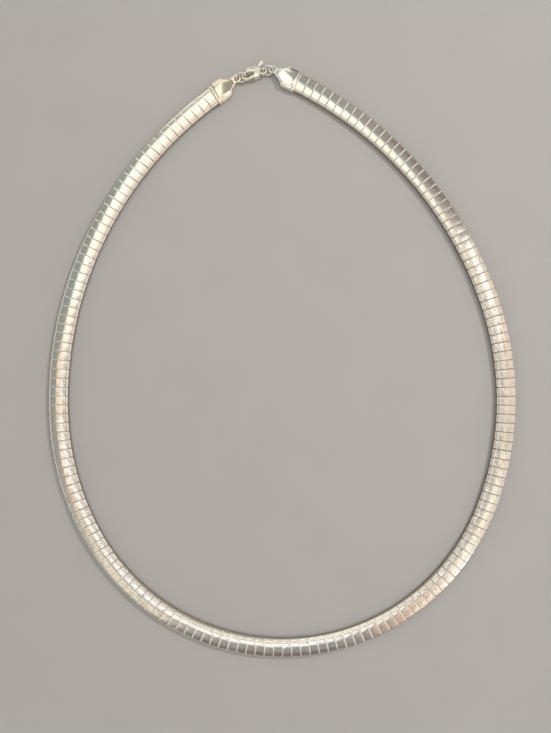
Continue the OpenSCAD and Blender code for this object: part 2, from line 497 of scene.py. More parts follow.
@dataclass(frozen=True)
class Route:
    """The loop's centre line: tangent arcs walked clockwise from the right cap's mouth."""

    arcs: tuple[Point, ...] = ((45.5, 110.0), (39.0, 86.5), (131.0, 62.5), (26.0, 78.5), (56.0, 108.0))
    start: Point = (4.47, 79.31)
    heading: float = -26.5

    def rows(self) -> list[tuple[Vector, float, float, float]]:
        """Walks the arcs.

        Returns:
            Each arc's centre and radius, and the heading and distance at its start.
        """
        made, at, heading, walked = [], Vector(self.start), self.heading, 0.0
        for turn, radius in self.arcs:
            centre = at - radius * across(heading)
            made.append((centre, radius, heading, walked))
            heading -= turn
            walked += math.radians(turn) * radius
            at = centre + radius * across(heading)
        return made

    @property
    def length(self) -> float:
        """Length of the whole line."""
        return sum(math.radians(turn) * radius for turn, radius in self.arcs)

    def place(self, distance: float) -> tuple[Vector, float]:
        """Point and heading at a distance.

        Args:
            distance: along the line from its start. Beyond an end the line runs on straight.

        Returns:
            The point and the heading in degrees.
        """
        held = min(max(distance, 0.0), self.length)
        centre, radius, heading, walked = [row for row in self.rows() if row[3] <= held][-1]
        heading -= math.degrees((held - walked) / radius)
        return centre + radius * across(heading) + (distance - held) * along(heading), heading

    def end(self, side: Side) -> tuple[Vector, float]:
        """The mouth of a cap and the heading from there to its eye."""
        at, heading = self.place(0.0 if side is Side.RIGHT else self.length)
        return at, heading + 180.0 if side is Side.RIGHT else heading

    def line(self, first: float, last: float, step: float, height: float) -> list[Vector]:
        """Points from one distance to another.

        Args:
            first: first distance.
            last: last distance.
            step: greatest spacing.
            height: height of the points.

        Returns:
            The points in millimetres.
        """
        count = math.ceil((last - first) / step)
        spots = [self.place(first + (last - first) * i / count)[0] for i in range(count + 1)]
        return [Vector((p.x, p.y, height)) for p in spots]


def along(heading: float) -> Vector:
    """Unit vector of a heading in degrees."""
    return Vector((math.cos(math.radians(heading)), math.sin(math.radians(heading))))


def across(heading: float) -> Vector:
    """Unit vector to the left of a heading in degrees."""
    return Vector((-math.sin(math.radians(heading)), math.cos(math.radians(heading))))


def placed(at: Vector | Point, height: float, heading: float) -> Matrix:
    """Frame in metres of a piece that stands at a point in millimetres, turned by a heading."""
    spot = Matrix.Translation(Vector((at[0], at[1], height)) * MM)
    return spot @ Matrix.Rotation(math.radians(heading), 4, "Z") @ TO_METRES


def stadium(half: float, top: float, crown: float, shoulder: float, lower: float, steps: int) -> Line:
    """Right half of a domed section, from the flat underside up to the middle of the crown.

    Args:
        half: half the width.
        top: height at the crown.
        crown: radius of the crown.
        shoulder: radius between crown and side.
        lower: radius between side and underside.
        steps: parts of each shoulder.

    Returns:
        Rows of y, z and the outward normal's y and z, ending just short of the middle.
    """
    dx = half - shoulder
    shoulder_z = top - crown + math.sqrt((crown - shoulder) ** 2 - dx * dx)
    lean = math.atan2(shoulder_z - top + crown, dx)
    eased = lower * DIAGONAL
    rows = [
        (half - lower, 0.0, 0.0, -1.0),
        (half - lower + eased, lower - eased, DIAGONAL, -DIAGONAL),
        (half, lower, 1.0, 0.0),
    ]
    for i in range(steps + 1):
        a = lean * (1 - (1 - i / steps) ** 2)
        y, z = math.cos(a), math.sin(a)
        rows.append((dx + shoulder * y, shoulder_z + shoulder * z, y, z))
    return rows


def mirrored(rows: Line) -> Line:
    """The same rows on the other side, in the order that carries the line on."""
    return [(-y, z, -ny, nz) for y, z, ny, nz in reversed(rows)]


def as_object(name: str, data: bpy.types.ID) -> Object:
    """Links new data into the scene.

    Args:
        name: name of the object.
        data: its mesh, camera or light.

    Returns:
        The object at the origin.
    """
    made = bpy.data.objects.new(name, data)
    bpy.context.scene.collection.objects.link(made)
    return made


def to_object(name: str, bm: BMesh, place: Matrix) -> Object:
    """Moves a mesh to its place and links it into the scene.

    Args:
        name: name of the object.
        bm: the mesh. It is freed.
        place: its frame.

    Returns:
        The object at the origin.
    """
    bm.transform(place)
    mesh = bpy.data.meshes.new(name)
    bm.to_mesh(mesh)
    bm.free()
    return as_object(name, mesh)


def skin(bm: BMesh, loops: Sequence[Sequence[Any]], closed: bool = False) -> None:
    """Adds a tube through loops of points.

    Args:
        bm: the mesh.
        loops: closed loops, all with as many points.
        closed: True to join the last loop to the first. Otherwise each end gets a face.
    """
    rings = [[bm.verts.new(p) for p in loop] for loop in loops]
    for first, second in zip(rings, rings[1:] + rings[:1] if closed else rings[1:]):
        for i in range(len(first)):
            bm.faces.new((first[i - 1], first[i], second[i], second[i - 1]))
    if not closed:
        bm.faces.new(rings[0])
        bm.faces.new(rings[-1])


def circle(steps: int) -> list[float]:
    """Evenly spaced angles of a full turn, in radians."""
    return [math.tau * i / steps for i in range(steps)]


def swept(profile: Sequence[Point], angles: Sequence[float], x: float = 0.0) -> list[list[Triple]]:
    """Loops of a profile of radius and height, turned by each angle about an upright axis at x."""
    return [[(x + r * math.cos(a), r * math.sin(a), h) for r, h in profile] for a in angles]


def from_bmesh(name: str, bm: BMesh, place: Matrix, merge: float = 1e-5) -> Object:
    """Ends a mesh that was built in millimetres.

    Args:
        name: name of the object.
        bm: the mesh. It is freed.
        place: its frame in metres.
        merge: distance within which points are one, in millimetres.

    Returns:
        The object, faces outward, smooth, at the origin.
    """
    bmesh.ops.remove_doubles(bm, verts=bm.verts, dist=merge)
    bmesh.ops.dissolve_degenerate(bm, edges=bm.edges, dist=merge)
    bmesh.ops.recalc_face_normals(bm, faces=bm.faces)
    for face in bm.faces:
        face.smooth = True
    return to_object(name, bm, place)


def sharpen(obj: Object, degrees: float) -> None:
    """Marks sharp edges.

    Args:
        obj: the object.
        degrees: edges that turn by more are sharp.
    """
    bm = bmesh.new()
    bm.from_mesh(obj.data)
    limit = math.radians(degrees)
    for edge in bm.edges:
        edge.smooth = len(edge.link_faces) == 2 and edge.calc_face_angle() < limit
    bm.to_mesh(obj.data)
    bm.free()


def settled(obj: Object, name: str) -> Object:
    """Turns an object with live modifiers into one plain mesh.

    Args:
        obj: the object. It is removed.
        name: name of the new object.

    Returns:
        The new object at the origin.
    """
    graph = bpy.context.evaluated_depsgraph_get()
    mesh = bpy.data.meshes.new_from_object(obj.evaluated_get(graph), depsgraph=graph)
    mesh.name = name
    bpy.data.objects.remove(obj)
    return as_object(name, mesh)


def finish_piece(obj: Object, finish: Silver, body: str, nodes: Sequence[str]) -> None:
    """Gives a piece its silver, body, slot and the solids that it stands for, and reports it.

    Args:
        obj: the piece.
        finish: its silver.
        body: the body it rides on.
        nodes: the solids it replaces.
    """
    material = bpy.data.materials.get(finish.name) or finish.material()
    obj.data.materials.clear()
    obj.data.materials.append(material)
    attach(obj, body)
    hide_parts(*nodes)
    obj.data.calc_loop_triangles()
    log.info("%s: %d triangles", obj.name, len(obj.data.loop_triangles))


@dataclass
class PathSpread:
    """A Geometry Nodes tree that sets a shape on evenly spaced points of a line.

    Its inputs are the kinds of its sockets, by name.
    """

    name: str
    inputs: dict[str, str]

    def __post_init__(self) -> None:
        """Makes the tree with its inputs."""
        tree = bpy.data.node_groups.new(self.name, "GeometryNodeTree")
        for name, kind in {"Line": "Geometry", **self.inputs}.items():
            tree.interface.new_socket(name, in_out="INPUT", socket_type="NodeSocket" + kind)
        tree.interface.new_socket("Run", in_out="OUTPUT", socket_type="NodeSocketGeometry")
        self.net = Net(tree)
        given = self.net.node("NodeGroupInput", {}, {})
        self.pick = {out.name: Val(self.net, out) for out in given.outputs if out.name}

    def spots(self, count: Val) -> tuple[Val, Val]:
        """Spaces points evenly along the line.

        Args:
            count: how many points.

        Returns:
            The points, and the rotation that lays a shape's x along the line.
        """
        curve = self.net.value("GeometryNodeMeshToCurve", {}, {0: self.pick["Line"]})
        inputs = {"Curve": curve, "Count": count}
        made = self.net.node("GeometryNodeCurveToPoints", {"mode": "COUNT"}, inputs)
        points, tangent = (Val(self.net, made.outputs[name]) for name in ("Points", "Tangent"))
        settings = {"axis": "X", "pivot_axis": "Z"}
        facing = self.net.value("FunctionNodeAlignRotationToVector", settings, {"Vector": tangent})
        return points, facing

    def end(self, instances: Val) -> None:
        """Realizes the laid instances, sets their material and closes the tree.

        Args:
            instances: the laid shapes.
        """
        whole = self.net.value("GeometryNodeRealizeInstances", {}, {0: instances})
        inputs = {"Geometry": whole, "Material": self.pick["Finish"]}
        self.net.node("NodeGroupOutput", {}, {0: self.net.value("GeometryNodeSetMaterial", {}, inputs)})

    def run(self, points: list[Vector], values: dict[str, Any], name: str) -> Object:
        """Runs the tree on a line of points.

        Args:
            points: the line in millimetres.
            values: the tree's named inputs.
            name: name of the new object.

        Returns:
            The plain mesh object.
        """
        mesh = bpy.data.meshes.new(name + " line")
        mesh.from_pydata([p * MM for p in points], [(i, i + 1) for i in range(len(points) - 1)], [])
        host = as_object(name + " line", mesh)
        modifier = host.modifiers.new("Run", "NODES")
        modifier.node_group = self.net.tree
        for item in self.net.tree.interface.items_tree:
            if item.in_out == "INPUT" and item.name in values:
                modifier[item.identifier] = values[item.name]
        return settled(host, name)


@dataclass
class ChainPlates:
    """The folded plates of one half of the loop."""

    side: Side
    route: Route
    finish: PlateSilver
    count: int = 167
    width: float = 5.66
    height: float = 1.74
    length: float = 2.56
    taper: float = 90.0
    sheet: float = 0.3
    tab: float = 1.5
    crown: float = 9.0
    shoulder: float = 0.7
    shoulder_steps: int = 3
    lower: float = 0.4
    bevel: float = 0.15
    drop: float = 0.09
    lift: float = 0.055
    tilt: Triple = (0.8, 0.7, 0.25)
    line_step: float = 0.25
    # rows of the outline that the plate's plainer inner face keeps
    inner_rows: tuple[int, ...] = (0, 1, 3, 6, 8, 10, 13, 15, 16)

    @property
    def pitch(self) -> float:
        """Distance from one plate to the next."""
        return self.route.length / self.count

    @property
    def numbers(self) -> range:
        """Numbers of this side's plates along the route."""
        middle = self.count // 2
        return range(middle) if self.side is Side.RIGHT else range(middle, self.count)

    def spread(self, y: float) -> float:
        """How much longer a plate is at a place across it. It is longest on the loop's outer side."""
        return 1 + y / self.taper

    def outline(self) -> Line:
        """Draws the strip's outer line.

        Returns:
            Its rows, from one tab's free edge over the dome to the other's.
        """
        half = self.width / 2
        rows = stadium(half, self.height, self.crown, self.shoulder, self.lower, self.shoulder_steps)
        rows[:2] = [(half - self.tab, 0.0, 0.0, -1.0), rows[0]]
        lean = math.asin(rows[-1][2]) / 2
        fall = self.crown * (1 - math.cos(lean))
        rows.append((self.crown * math.sin(lean), self.height - fall, math.sin(lean), math.cos(lean)))
        return rows + [(0.0, self.height, 0.0, 1.0)] + mirrored(rows)

    def point(self, bm: BMesh, x: float, inset: float, row: tuple) -> BMVert:
        """Adds one point of the plate.

        Args:
            bm: the plate's mesh.
            x: place along the plate, as if it were as long on both sides.
            inset: how far it stands in from the outer line.
            row: the outer line's point and normal.

        Returns:
            The new point.
        """
        y, z, ny, nz = row
        y, z = y - ny * inset, z - nz * inset
        return bm.verts.new((x * self.spread(y), y, z + self.lift))

    def sheet_faces(self, bm: BMesh) -> None:
        """Adds the folded sheet, with pressed-down ends and a thin open fold.

        Args:
            bm: the plate's mesh.
        """
        rows = self.outline()
        half, flat = self.length / 2, self.length / 2 - self.bevel
        stations = ((-half, self.drop), (-flat, 0.0), (flat, 0.0), (half, self.drop))
        rings = [[self.point(bm, x, inset, row) for row in rows] for x, inset in stations]
        for front, back in zip(rings, rings[1:]):
            for i in range(len(rows) - 1):
                bm.faces.new((front[i], front[i + 1], back[i + 1], back[i]))
        picks = [rows[i] for i in self.inner_rows]
        inner = [[self.point(bm, x, self.sheet, row) for row in picks] for x in (-half, half)]
        for i in range(len(picks) - 1):
            bm.faces.new((inner[0][i], inner[1][i], inner[1][i + 1], inner[0][i + 1]))
        for ring, inside in ((rings[0], inner[0]), (rings[-1], inner[1])):
            bm.faces.new(ring + inside[::-1])
        for i in (0, -1):
            bm.faces.new([ring[i] for ring in rings] + [inner[1][i], inner[0][i]])
        bmesh.ops.recalc_face_normals(bm, faces=bm.faces)

    def plate(self) -> Object:
        """Builds one plate, x along the chain.

        Returns:
            The plate at the origin, with a UV map across and along it.
        """
        bm = bmesh.new()
        self.sheet_faces(bm)
        uv = bm.loops.layers.uv.new("plate")
        reach = self.width + 2 * self.height
        for face in bm.faces:
            face.smooth = True
            for loop in face.loops:
                x, y, z = loop.vert.co
                over = math.copysign(abs(y) + self.height - z, y) / reach
                loop[uv].uv = (0.5 + over, 0.5 + x / self.spread(y) / self.length)
        flat = self.length / 2 - self.bevel
        for edge in bm.edges:
            ends = [v.co.x / self.spread(v.co.y) for v in edge.verts]
            at_bevel = abs(ends[0] - ends[1]) < NEAR and abs(abs(ends[0]) - flat) < NEAR
            turned = len(edge.link_faces) != 2 or edge.calc_face_angle() > math.radians(SHARP)
            edge.smooth = not (at_bevel or turned)
        return to_object("Plate shape", bm, TO_METRES)

    def tree(self) -> PathSpread:
        """Builds the tree that lays plates along a line, each a little out of true.

        Returns:
            The tree.
        """
        wanted = {"Plate": "Object", "Count": "Int", "Tilt": "Vector", "Seed": "Int", "Finish": "Material"}
        spread = PathSpread("Plates along the chain", wanted)
        net, pick = spread.net, spread.pick
        points, facing = spread.spots(pick["Count"])
        inputs = {"Min": pick["Tilt"] * -1.0, "Max": pick["Tilt"], "Seed": pick["Seed"]}
        lean = net.value("FunctionNodeRandomValue", {"data_type": "FLOAT_VECTOR"}, inputs, "Value")
        lean = net.value("FunctionNodeEulerToRotation", {}, {0: lean})
        turned = net.value("FunctionNodeRotateRotation", {"rotation_space": "LOCAL"}, {0: facing, 1: lean})
        plate = net.value("GeometryNodeObjectInfo", {}, {"Object": pick["Plate"]}, "Geometry")
        inputs = {"Points": points, "Instance": plate, "Rotation": turned}
        laid = net.value("GeometryNodeInstanceOnPoints", {}, inputs)
        inputs = {"Min": 0.0, "Max": 1.0, "Seed": pick["Seed"]}
        shade = net.value("FunctionNodeRandomValue", {"data_type": "FLOAT"}, inputs, "Value")
        settings = {"data_type": "FLOAT", "domain": "INSTANCE"}
        inputs = {"Geometry": laid, "Name": "plate_shade", "Value": shade}
        spread.end(net.value("GeometryNodeStoreNamedAttribute", settings, inputs))
        return spread

    def build(self) -> None:
        """Builds and dresses this half's plates."""
        first, last = ((self.numbers[i] + 0.5) * self.pitch for i in (0, -1))
        right = self.side is Side.RIGHT
        name = f"plates_{self.side.value}"
        shape = self.plate()
        values = {
            "Plate": shape,
            "Count": len(self.numbers),
            "Tilt": tuple(math.radians(t) for t in self.tilt),
            "Seed": 7 if right else 19,
            "Finish": self.finish.material() if right else bpy.data.materials[self.finish.name],
        }
        line = self.route.line(first, last, self.line_step, 0.0)
        piece = self.tree().run(line, values, name + "_dressed")
        bpy.data.objects.remove(shape)
        finish_piece(piece, self.finish, NECKLACE, [name])


@dataclass
class MeshBand:
    """The flat band inside the plates, woven of small slanted links."""

    route: Route
    finish: Silver
    wire: float = 0.3
    link: float = 1.62
    link_flat: float = 0.62
    link_lean: float = 0.9
    height: float = 0.68
    low: float = 0.43
    row_step: float = 1.03
    column_step: float = 0.86
    columns: int = 5
    slant: float = 30.0
    in_cap: float = 4.3
    sides: int = 5
    line_step: float = 0.5

    def link_shape(self) -> Object:
        """Builds one flattened closed link in the upright plane along x.

        Returns:
            The link at the origin, in metres.
        """
        r = self.wire / 2
        x, z = self.link / 2 - r, self.height / 2 - r
        flat, sideways = x * self.link_flat, Vector((0, 1, 0))
        rings = []
        for cx, cz in ((x, 0.0), (flat, z), (-flat, z), (-x, 0.0), (-flat, -z), (flat, -z)):
            centre = Vector((cx, 0.0, cz))
            out = Vector((cx / x, 0.0, cz / z * self.link_lean)).normalized()
            ways = [math.cos(a) * out + math.sin(a) * sideways for a in circle(self.sides)]
            rings.append([centre + r * way for way in ways])
        bm = bmesh.new()
        skin(bm, rings, closed=True)
        return from_bmesh("Link shape", bm, TO_METRES)

    def tree(self) -> PathSpread:
        """Builds the tree that sets rows of links across the band, slanted by turns.

        Returns:
            The tree.
        """
        wanted = {"Link": "Object", "Rows": "Int", "Columns": "Int", "Column Step": "Float", "Slant": "Float"}
        spread = PathSpread("Woven band", wanted | {"Finish": "Material"})
        net, pick = spread.net, spread.pick
        link = net.value("GeometryNodeObjectInfo", {}, {"Object": pick["Link"]}, "Geometry")
        step = net.value("ShaderNodeCombineXYZ", {}, {"Y": pick["Column Step"]})
        outermost = (pick["Columns"] - 1.0) * pick["Column Step"] * -0.5
        first = net.value("ShaderNodeCombineXYZ", {}, {"Y": outermost})
        inputs = {"Count": pick["Columns"], "Start Location": first, "Offset": step}
        columns = net.value("GeometryNodeMeshLine", {"mode": "OFFSET"}, inputs)
        join = net.node("GeometryNodeJoinGeometry", {}, {})
        for sign in (1.0, -1.0):
            turn = net.value("ShaderNodeCombineXYZ", {}, {"Z": pick["Slant"] * sign})
            turn = net.value("FunctionNodeEulerToRotation", {}, {0: turn})
            inputs = {"Points": columns, "Instance": link, "Rotation": turn}
            row = net.value("GeometryNodeInstanceOnPoints", {}, inputs)
            whole = net.value("GeometryNodeGeometryToInstance", {}, {0: row})
            net.tree.links.new(whole.socket, join.inputs[0])
        points, facing = spread.spots(pick["Rows"])
        index = net.value("GeometryNodeInputIndex", {}, {})
        inputs = {
            "Points": points,
            "Instance": Val(net, join.outputs[0]),
            "Pick Instance": True,
            "Instance Index": net.value("ShaderNodeMath", {"operation": "MODULO"}, {0: index, 1: 2.0}),
            "Rotation": facing,
        }
        spread.end(net.value("GeometryNodeInstanceOnPoints", {}, inputs))
        return spread

    def build(self) -> None:
        """Builds and dresses the band."""
        reach = self.in_cap - self.link / 2
        shape = self.link_shape()
        span = self.route.length + 2 * reach
        values = {
            "Link": shape,
            "Rows": round(span / self.row_step) + 1,
            "Columns": self.columns,
            "Column Step": self.column_step * MM,
            "Slant": math.radians(self.slant),
            "Finish": self.finish.material(),
        }
        middle = self.low + self.height / 2
        points = self.route.line(-reach, self.route.length + reach, self.line_step, middle)
        piece = self.tree().run(points, values, "mesh_band")
        bpy.data.objects.remove(shape)
        finish_piece(piece, self.finish, NECKLACE, ["mesh_core"])


@dataclass
class ClaspLine:
    """Where the caps' eyes, the rings and the claw lie."""

    route: Route
    cap_reach: float = 8.2
    ring_height: float = 1.3903
    hook_seat: Point = (5.08, -1.05)
    claw_roll: float = -14.0

    def eye(self, side: Side) -> Vector:
        """Centre of a cap's eye."""
        at, heading = self.route.end(side)
        return at + self.cap_reach * along(heading)

    @property
    def line(self) -> Vector:
        """Unit vector from the left eye to the right eye."""
        return (self.eye(Side.RIGHT) - self.eye(Side.LEFT)).normalized()

    @property
    def angle(self) -> float:
        """Heading of that line in degrees."""
        return math.degrees(math.atan2(self.line.y, self.line.x))

    @property
    def ring_gap(self) -> float:
        """Distance that each ring spans, half of what the claw leaves of the line."""
        span = (self.eye(Side.RIGHT) - self.eye(Side.LEFT)).length
        return (span - math.hypot(*self.hook_seat)) / 2

    def ring(self, side: Side) -> Vector:
        """Centre of a jump ring."""
        half = self.ring_gap / 2 * self.line
        return self.eye(Side.RIGHT) - half if side is Side.RIGHT else self.eye(Side.LEFT) + half

    def claw(self) -> Matrix:
        """Places the claw.

        Returns:
            Its own frame, in metres and with its spine to +Y.
        """
        at = self.eye(Side.RIGHT) - self.ring_gap * self.line
        yaw = math.atan2(self.hook_seat[1], self.hook_seat[0])
        turned = placed(at, self.ring_height, self.angle + 180.0)
        turned = turned @ Matrix.Rotation(math.radians(-self.claw_roll), 4, "X")
        return turned @ Matrix.Diagonal((1, -1, 1, 1)) @ Matrix.Rotation(-yaw, 4, "Z")


@dataclass
class EndCap:
    """A domed stamped cap with a rolled mouth, a neck and a flat soldered eye.

    Its own frame has x from the mouth to the eye. A station is a place along x and an inset.
    """

    side: Side
    clasp: ClaspLine
    finish: Silver
    half: float = 3.23
    height: float = 2.19
    straight: float = 4.1
    neck_x: float = 6.9
    waist_end: Point = (7.35, 1.05)
    waist_r: float = 5.0
    fall_r: float = 22.0
    crown: float = 9.0
    shoulder: float = 0.62
    shoulder_steps: int = 5
    lower: float = 0.4
    lip: float = 0.8
    mouth_roll: tuple[Point, ...] = (
        (0.0, 0.17), (0.04, 0.12), (0.12, 0.085), (0.3, 0.06), (0.5, 0.06), (0.66, 0.085)
    )
    lip_step: tuple[Point, ...] = ((-0.06, 0.12), (0.0, 0.1), (0.03, 0.03), (0.1, 0.0))
    body_x: tuple[float, ...] = (1.6, 2.4, 3.2, 3.9, 4.04, 4.12, 4.2)
    waist_steps: int = 10
    neck_roll: tuple[Point, ...] = ((-0.14, 0.0), (-0.05, 0.04), (0.0, 0.14))
    pocket_half: float = 2.44
    pocket_z: Reach = (0.33, 1.21)
    pocket_depth: float = 2.0
    tongue_widths: tuple[Point, ...] = ((6.4, 1.0), (7.0, 1.0), (7.3, 0.9))
    tongue_inset: float = 0.03
    tongue_drop: float = 0.08
    eye_hole: float = 0.75
    eye_rim: float = 0.44
    eye_thick: float = 0.58
    eye_ridge: float = 0.1
    eye_turns: int = 48

    def half_at(self, x: float) -> float:
        """Half the cap's width.

        Args:
            x: distance from the mouth.

        Returns:
            The full half width, or that of the waist beyond the straight part.
        """
        if x <= self.straight:
            return self.half
        start, end = Vector((self.straight, self.half)), Vector(self.waist_end)
        chord = end - start
        out = Vector((-chord.y, chord.x)).normalized()
        centre = (end + start) / 2 + out * math.sqrt(self.waist_r**2 - (chord.length / 2) ** 2)
        return centre.y - math.sqrt(self.waist_r**2 - (x - centre.x) ** 2)

    def top_at(self, x: float) -> float:
        """Height of the crown at a distance from the mouth."""
        return self.height - self.fall_r + math.sqrt(self.fall_r**2 - (x - self.straight / 2) ** 2)

    def section(self, x: float, inset: float) -> list[Vector]:
        """Closed section at a distance from the mouth.

        Args:
            x: the distance.
            inset: how far the line stands in from the full section.

        Returns:
            The points, anticlockwise seen from the eye.
        """
        top = self.top_at(x)
        rows = stadium(self.half_at(x), top, self.crown, self.shoulder, self.lower, self.shoulder_steps)
        edge = math.atan2(rows[-1][2], rows[-1][3])
        rows.insert(0, (0.0, 0.0, 0.0, -1.0))
        for part in (0.66, 0.33):
            y, z = math.sin(edge * part), math.cos(edge * part)
            rows.append((self.crown * y, top - self.crown * (1 - z), y, z))
        rows.append((0.0, top, 0.0, 1.0))
        line = rows + mirrored(rows[1:-1])
        return [Vector((x, y - ny * inset, max(z - nz * inset, FLOOR_GAP))) for y, z, ny, nz in line]

    def shell(self) -> list[list[Vector]]:
        """Shapes the body from the mouth's pocket to the neck.

        Returns:
            Its loops of points.
        """
        waist = self.neck_x - self.straight
        stations = list(self.mouth_roll)
        stations += [(self.lip + x, inset) for x, inset in self.lip_step]
        stations += [(x, 0.0) for x in self.body_x]
        stations += [(self.straight + waist * i / self.waist_steps, 0.0) for i in range(1, self.waist_steps)]
        stations += [(self.neck_x + x, inset) for x, inset in self.neck_roll]
        loops = [self.section(x, inset) for x, inset in stations]
        mouth, wide, (low, high) = loops[0], self.pocket_half, self.pocket_z
        for depth in (0.0, self.pocket_depth):
            held = [(min(max(p.y, -wide), wide), min(max(p.z, low), high)) for p in mouth]
            loops.insert(0, [Vector((depth, y, z)) for y, z in held])
        return loops

    def tongue(self) -> list[list[Triple]]:
        """Shapes the flat tongue that joins the neck to the eye.

        Returns:
            Its loops of points.
        """
        z, half = self.clasp.ring_height, self.eye_thick / 2 - self.tongue_inset
        low, high = z - half, z + half - self.tongue_drop
        corners = ((-1, low), (1, low), (1, high), (-1, high))
        return [[(x, side * wide, h) for side, h in corners] for x, wide in self.tongue_widths]

    def eye(self) -> list[list[Triple]]:
        """Shapes the eye, a washer with a fine ridge along each of its four edges.

        Returns:
            Its loops of points.
        """
        middle, z, ridge = self.eye_hole + self.eye_rim / 2, self.clasp.ring_height, self.eye_ridge
        half_w, half_t = self.eye_rim / 2 - ridge, self.eye_thick / 2 - ridge
        line = []
        for sx, sz in ((1, 1), (-1, 1), (-1, -1), (1, -1)):
            for degrees in (0, 45, 90) if sx * sz < 0 else (90, 45, 0):
                dx, dz = ridge * math.cos(math.radians(degrees)), ridge * math.sin(math.radians(degrees))
                line.append((middle + sx * (half_w + dx), z + sz * (half_t + dz)))
        return swept(line[::-1], circle(self.eye_turns), self.clasp.cap_reach)

    def build(self) -> None:
        """Builds and dresses the cap."""
        bm = bmesh.new()
        skin(bm, self.shell())
        skin(bm, self.tongue())
        skin(bm, self.eye(), closed=True)
        at, heading = self.clasp.route.end(self.side)
        name = f"cap_{self.side.value}"
        piece = from_bmesh(name + "_dressed", bm, placed(at, 0.0, heading), NEAR)
        sharpen(piece, SHARP)
        finish_piece(piece, self.finish, NECKLACE, [name])


@dataclass
class JumpRing:
    """A round wire ring with its fine closing cut."""

    side: Side
    clasp: ClaspLine
    finish: Silver
    radius: float = 1.36
    wire: float = 0.57
    roll: float = 54.0
    cut: float = 2.0
    cut_at: float = 200.0
    turns: int = 56
    sides: int = 16
    sharp: float = 60.0

    def build(self) -> None:
        """Builds and dresses the ring."""
        half = self.wire / 2
        profile = [(self.radius + half * math.cos(b), half * math.sin(b)) for b in circle(self.sides)]
        first, arc = self.cut_at + self.cut / 2, 360.0 - self.cut
        angles = [math.radians(first + arc * k / self.turns) for k in range(self.turns + 1)]
        bm = bmesh.new()
        skin(bm, swept(profile, angles))
        stand = placed(self.clasp.ring(self.side), self.clasp.ring_height, self.clasp.angle)
        rolled = stand @ Matrix.Rotation(math.radians(self.roll), 4, "X")
        name = f"jump_ring_{self.side.value}"
        piece = from_bmesh(name + "_dressed", bm, rolled)
        sharpen(piece, self.sharp)
        finish_piece(piece, self.finish, NECKLACE, [name])


@dataclass
class CastPiece:
    """A part of the clasp, cast and tumbled: the solid's own form with eased edges."""

    node: str
    body: str
    clasp: ClaspLine
    finish: Silver
    voxel: float = 0.055
    rounds: int = 6
    ease: float = 0.5
    pivot: Point = (1.75, -0.75)
    pin: float = 0.42
    groove: float = 0.05
    groove_half: float = 0.09
    cheek: float = 0.6

    def eased(self) -> Object:
        """Remeshes and smooths a merged copy of the solid in its own frame.

        Returns:
            The eased copy in millimetres, in the claw's frame.
        """
        bm = bmesh.new()
        bm.from_mesh(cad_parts[self.node].data)
        bmesh.ops.remove_doubles(bm, verts=bm.verts, dist=1e-7)
        bm.transform(self.clasp.claw().inverted())
        bmesh.ops.recalc_face_normals(bm, faces=bm.faces)
        copy = to_object(self.node + " copy", bm, Matrix())
        remesh = copy.modifiers.new("Cast", "REMESH")
        remesh.mode, remesh.voxel_size = "VOXEL", self.voxel
        smooth = copy.modifiers.new("Tumble", "SMOOTH")
        smooth.factor, smooth.iterations = self.ease, self.rounds
        return settled(copy, self.node + "_dressed")

    def build(self) -> None:
        """Builds and dresses the piece, with a fine line round the pin's heads."""
        piece = self.eased()
        bm = bmesh.new()
        bm.from_mesh(piece.data)
        for vert in bm.verts:
            x, y, z = vert.co
            off = (math.hypot(x - self.pivot[0], y - self.pivot[1]) - self.pin) / self.groove_half
            if self.body == NECKLACE and abs(off) < 1 and abs(z) > self.cheek:
                vert.co.z -= math.copysign(self.groove * (1 - off**2), z)
        bm.transform(self.clasp.claw())
        bmesh.ops.recalc_face_normals(bm, faces=bm.faces)
        for face in bm.faces:
            face.smooth = True
        bm.to_mesh(piece.data)
        bm.free()
        finish_piece(piece, self.finish, self.body, [self.node])


@dataclass(frozen=True)
class Panel:
    """A card in the studio's sky: a convex shape with soft edges, and the light it gives.

    The sky is measured by the tangent of the angle from straight up. Each side has the direction it
    faces, in degrees, and its reach that way.
    """

    sides: tuple[tuple[float, float], ...]
    light: Tone
    edge: float = 0.05

    def mask(self, u: Val, v: Val) -> Val:
        """Share of the card in the sky.

        Args:
            u: tangent to the right.
            v: tangent towards the clasp.

        Returns:
            1 on the card and 0 beside it.
        """
        plain = {0: u, 90: v, 180: u * -1.0, 270: v * -1.0}
        whole: Any = 1.0
        for way, reach in self.sides:
            side = plain[way] if way in plain else u * along(way).x + v * along(way).y
            whole = side.step(reach + self.edge, reach - self.edge) * whole
        return whole


